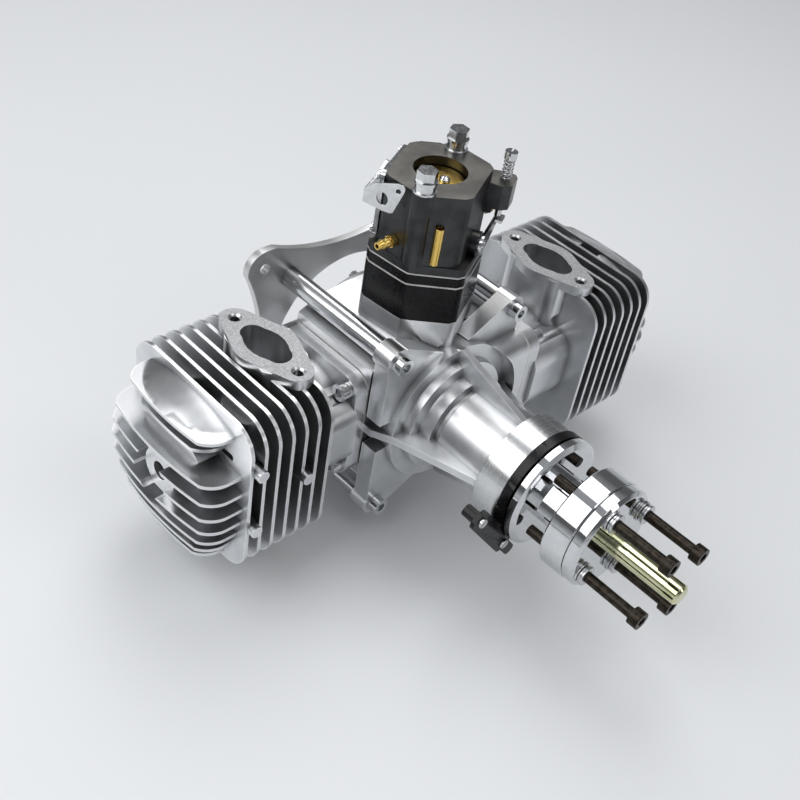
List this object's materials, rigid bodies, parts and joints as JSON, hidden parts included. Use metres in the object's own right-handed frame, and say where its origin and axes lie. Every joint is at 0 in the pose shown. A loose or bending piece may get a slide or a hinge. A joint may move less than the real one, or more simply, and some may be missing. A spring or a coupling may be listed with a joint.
{
  "type": "model aircraft engine",
  "caption": "Opposed twin-cylinder two-stroke petrol engine for large model aircraft, with finned cylinders, rear mount plate on standoffs, top carburettor and bolted propeller hub",
  "frame": {"origin": "where the crank axis meets the rear face of the mount plate", "axes": "+X along the cylinders towards the right cylinder seen from behind, -Y towards the propeller along the crank axis, +Z towards the exhaust ports and the carburettor"},
  "size_m": [0.2772, 0.2232, 0.1847],
  "materials": {
    "cast_aluminium": "bead-blasted die casting, bright fin edges",
    "machined_aluminium": "turned and milled, fine satin",
    "bright_screws": "zinc plated steel",
    "gasket": "pressed fibre sheet",
    "piston_alloy": "machined",
    "ring_iron": "ground",
    "forged_steel": "ground steel",
    "bearing_steel": "polished bearing steel",
    "seal_rubber": "matt",
    "polished_hub": "mirror turned",
    "black_oxide": "black oxide, slight sheen",
    "yellow_zinc": "yellow passivated zinc",
    "magnet": "nickel plated",
    "black_sensor": "moulded",
    "reed_plastic": "moulded",
    "black_insulator": "phenolic, smooth",
    "carb_casting": "dark conversion coated casting",
    "zinc_steel": "bright zinc plated",
    "brass": "turned brass"
  },
  "bodies": {
    "engine": {"crankcase": "cast_aluminium", "front_collar": "machined_aluminium", "rear_cover": "machined_aluminium", "rear_cover_screws": "bright_screws", "mount_plate": "machined_aluminium", "standoffs": "machined_aluminium", "standoff_screws": "bright_screws", "plate_screws": "bright_screws", "cylinder_left": "cast_aluminium", "cylinder_right": "cast_aluminium", "gaskets": "gasket", "base_screws": "bright_screws", "front_bearing": "bearing_steel", "main_bearing": "bearing_steel", "rear_bearing": "bearing_steel", "oil_seal": "seal_rubber", "sensor_ring": "black_sensor", "hall_sensor": "black_sensor", "sensor_screws": "bright_screws", "reed_block": "reed_plastic", "reed_petals": "reed_plastic", "insulator": "black_insulator", "carb_spacer": "black_insulator", "carb_body": "carb_casting", "carb_bolts": "bright_screws", "carb_bolt_washers": "bright_screws", "pump_cover": "carb_casting", "metering_cover": "carb_casting", "cover_screws": "bright_screws", "fuel_nipple": "brass", "brass_fitting": "brass", "high_needle": "brass", "low_needle": "brass", "adjuster_springs": "zinc_steel"},
    "rotor": {"crankshaft": "forged_steel", "crank_middle_web": "forged_steel", "crank_rear": "forged_steel", "prop_hub": "polished_hub", "prop_washer": "polished_hub", "bolt_washers": "bright_screws", "prop_bolts": "black_oxide", "prop_stud": "yellow_zinc", "trigger_magnet": "magnet"},
    "piston_left_body": {"piston_left": "piston_alloy", "rings_left": "ring_iron", "wrist_pin_left": "forged_steel"},
    "piston_right_body": {"piston_right": "piston_alloy", "rings_right": "ring_iron", "wrist_pin_right": "forged_steel"},
    "rod_left_body": {"con_rod_left": "forged_steel", "crank_pin_left": "forged_steel"},
    "rod_right_body": {"con_rod_right": "forged_steel", "crank_pin_right": "forged_steel"},
    "choke": {"choke_shaft": "zinc_steel", "choke_plate": "brass", "choke_lever": "zinc_steel"},
    "throttle": {"throttle_shaft": "zinc_steel", "throttle_plate": "brass", "throttle_lever": "zinc_steel"},
    "idle_adjuster": {"idle_screw": "zinc_steel"}
  },
  "joints": [
    {"name": "crank_spin", "type": "hinge", "parent": "engine", "child": "rotor", "pos_m": [0, 0, 0], "axis": [0, 1, 0], "continuous": true},
    {"name": "piston_left_slide", "type": "slide", "parent": "engine", "child": "piston_left_body", "axis": [-1, 0, 0], "range_m": [-0.01327, 0.01672]},
    {"name": "piston_right_slide", "type": "slide", "parent": "engine", "child": "piston_right_body", "axis": [1, 0, 0], "range_m": [-0.01327, 0.01672]},
    {"name": "rod_left_swing", "type": "hinge", "parent": "piston_left_body", "child": "rod_left_body", "pos_m": [-0.06427, -0.0414, 0], "axis": [0, 1, 0], "range_deg": [0, 26.27]},
    {"name": "rod_right_swing", "type": "hinge", "parent": "piston_right_body", "child": "rod_right_body", "pos_m": [0.06427, -0.0626, 0], "axis": [0, 1, 0], "range_deg": [0, 26.27]},
    {"name": "choke_turn", "type": "hinge", "parent": "engine", "child": "choke", "pos_m": [0, -0.0516, 0.105], "axis": [-0.454, 0.891, 0], "range_deg": [0, 75]},
    {"name": "throttle_turn", "type": "hinge", "parent": "engine", "child": "throttle", "pos_m": [0, -0.0516, 0.084], "axis": [-0.454, 0.891, 0], "range_deg": [0, 75]},
    {"name": "idle_screw_turn", "type": "hinge", "parent": "engine", "child": "idle_adjuster", "pos_m": [0.02739, -0.0657, 0.1], "axis": [0, 0, 1], "continuous": true}
  ],
  "couplings": [
    {"joint": "piston_right_slide", "follows": "piston_left_slide", "ratio": 1},
    {"joint": "rod_right_swing", "follows": "rod_left_swing", "ratio": 1}
  ]
}
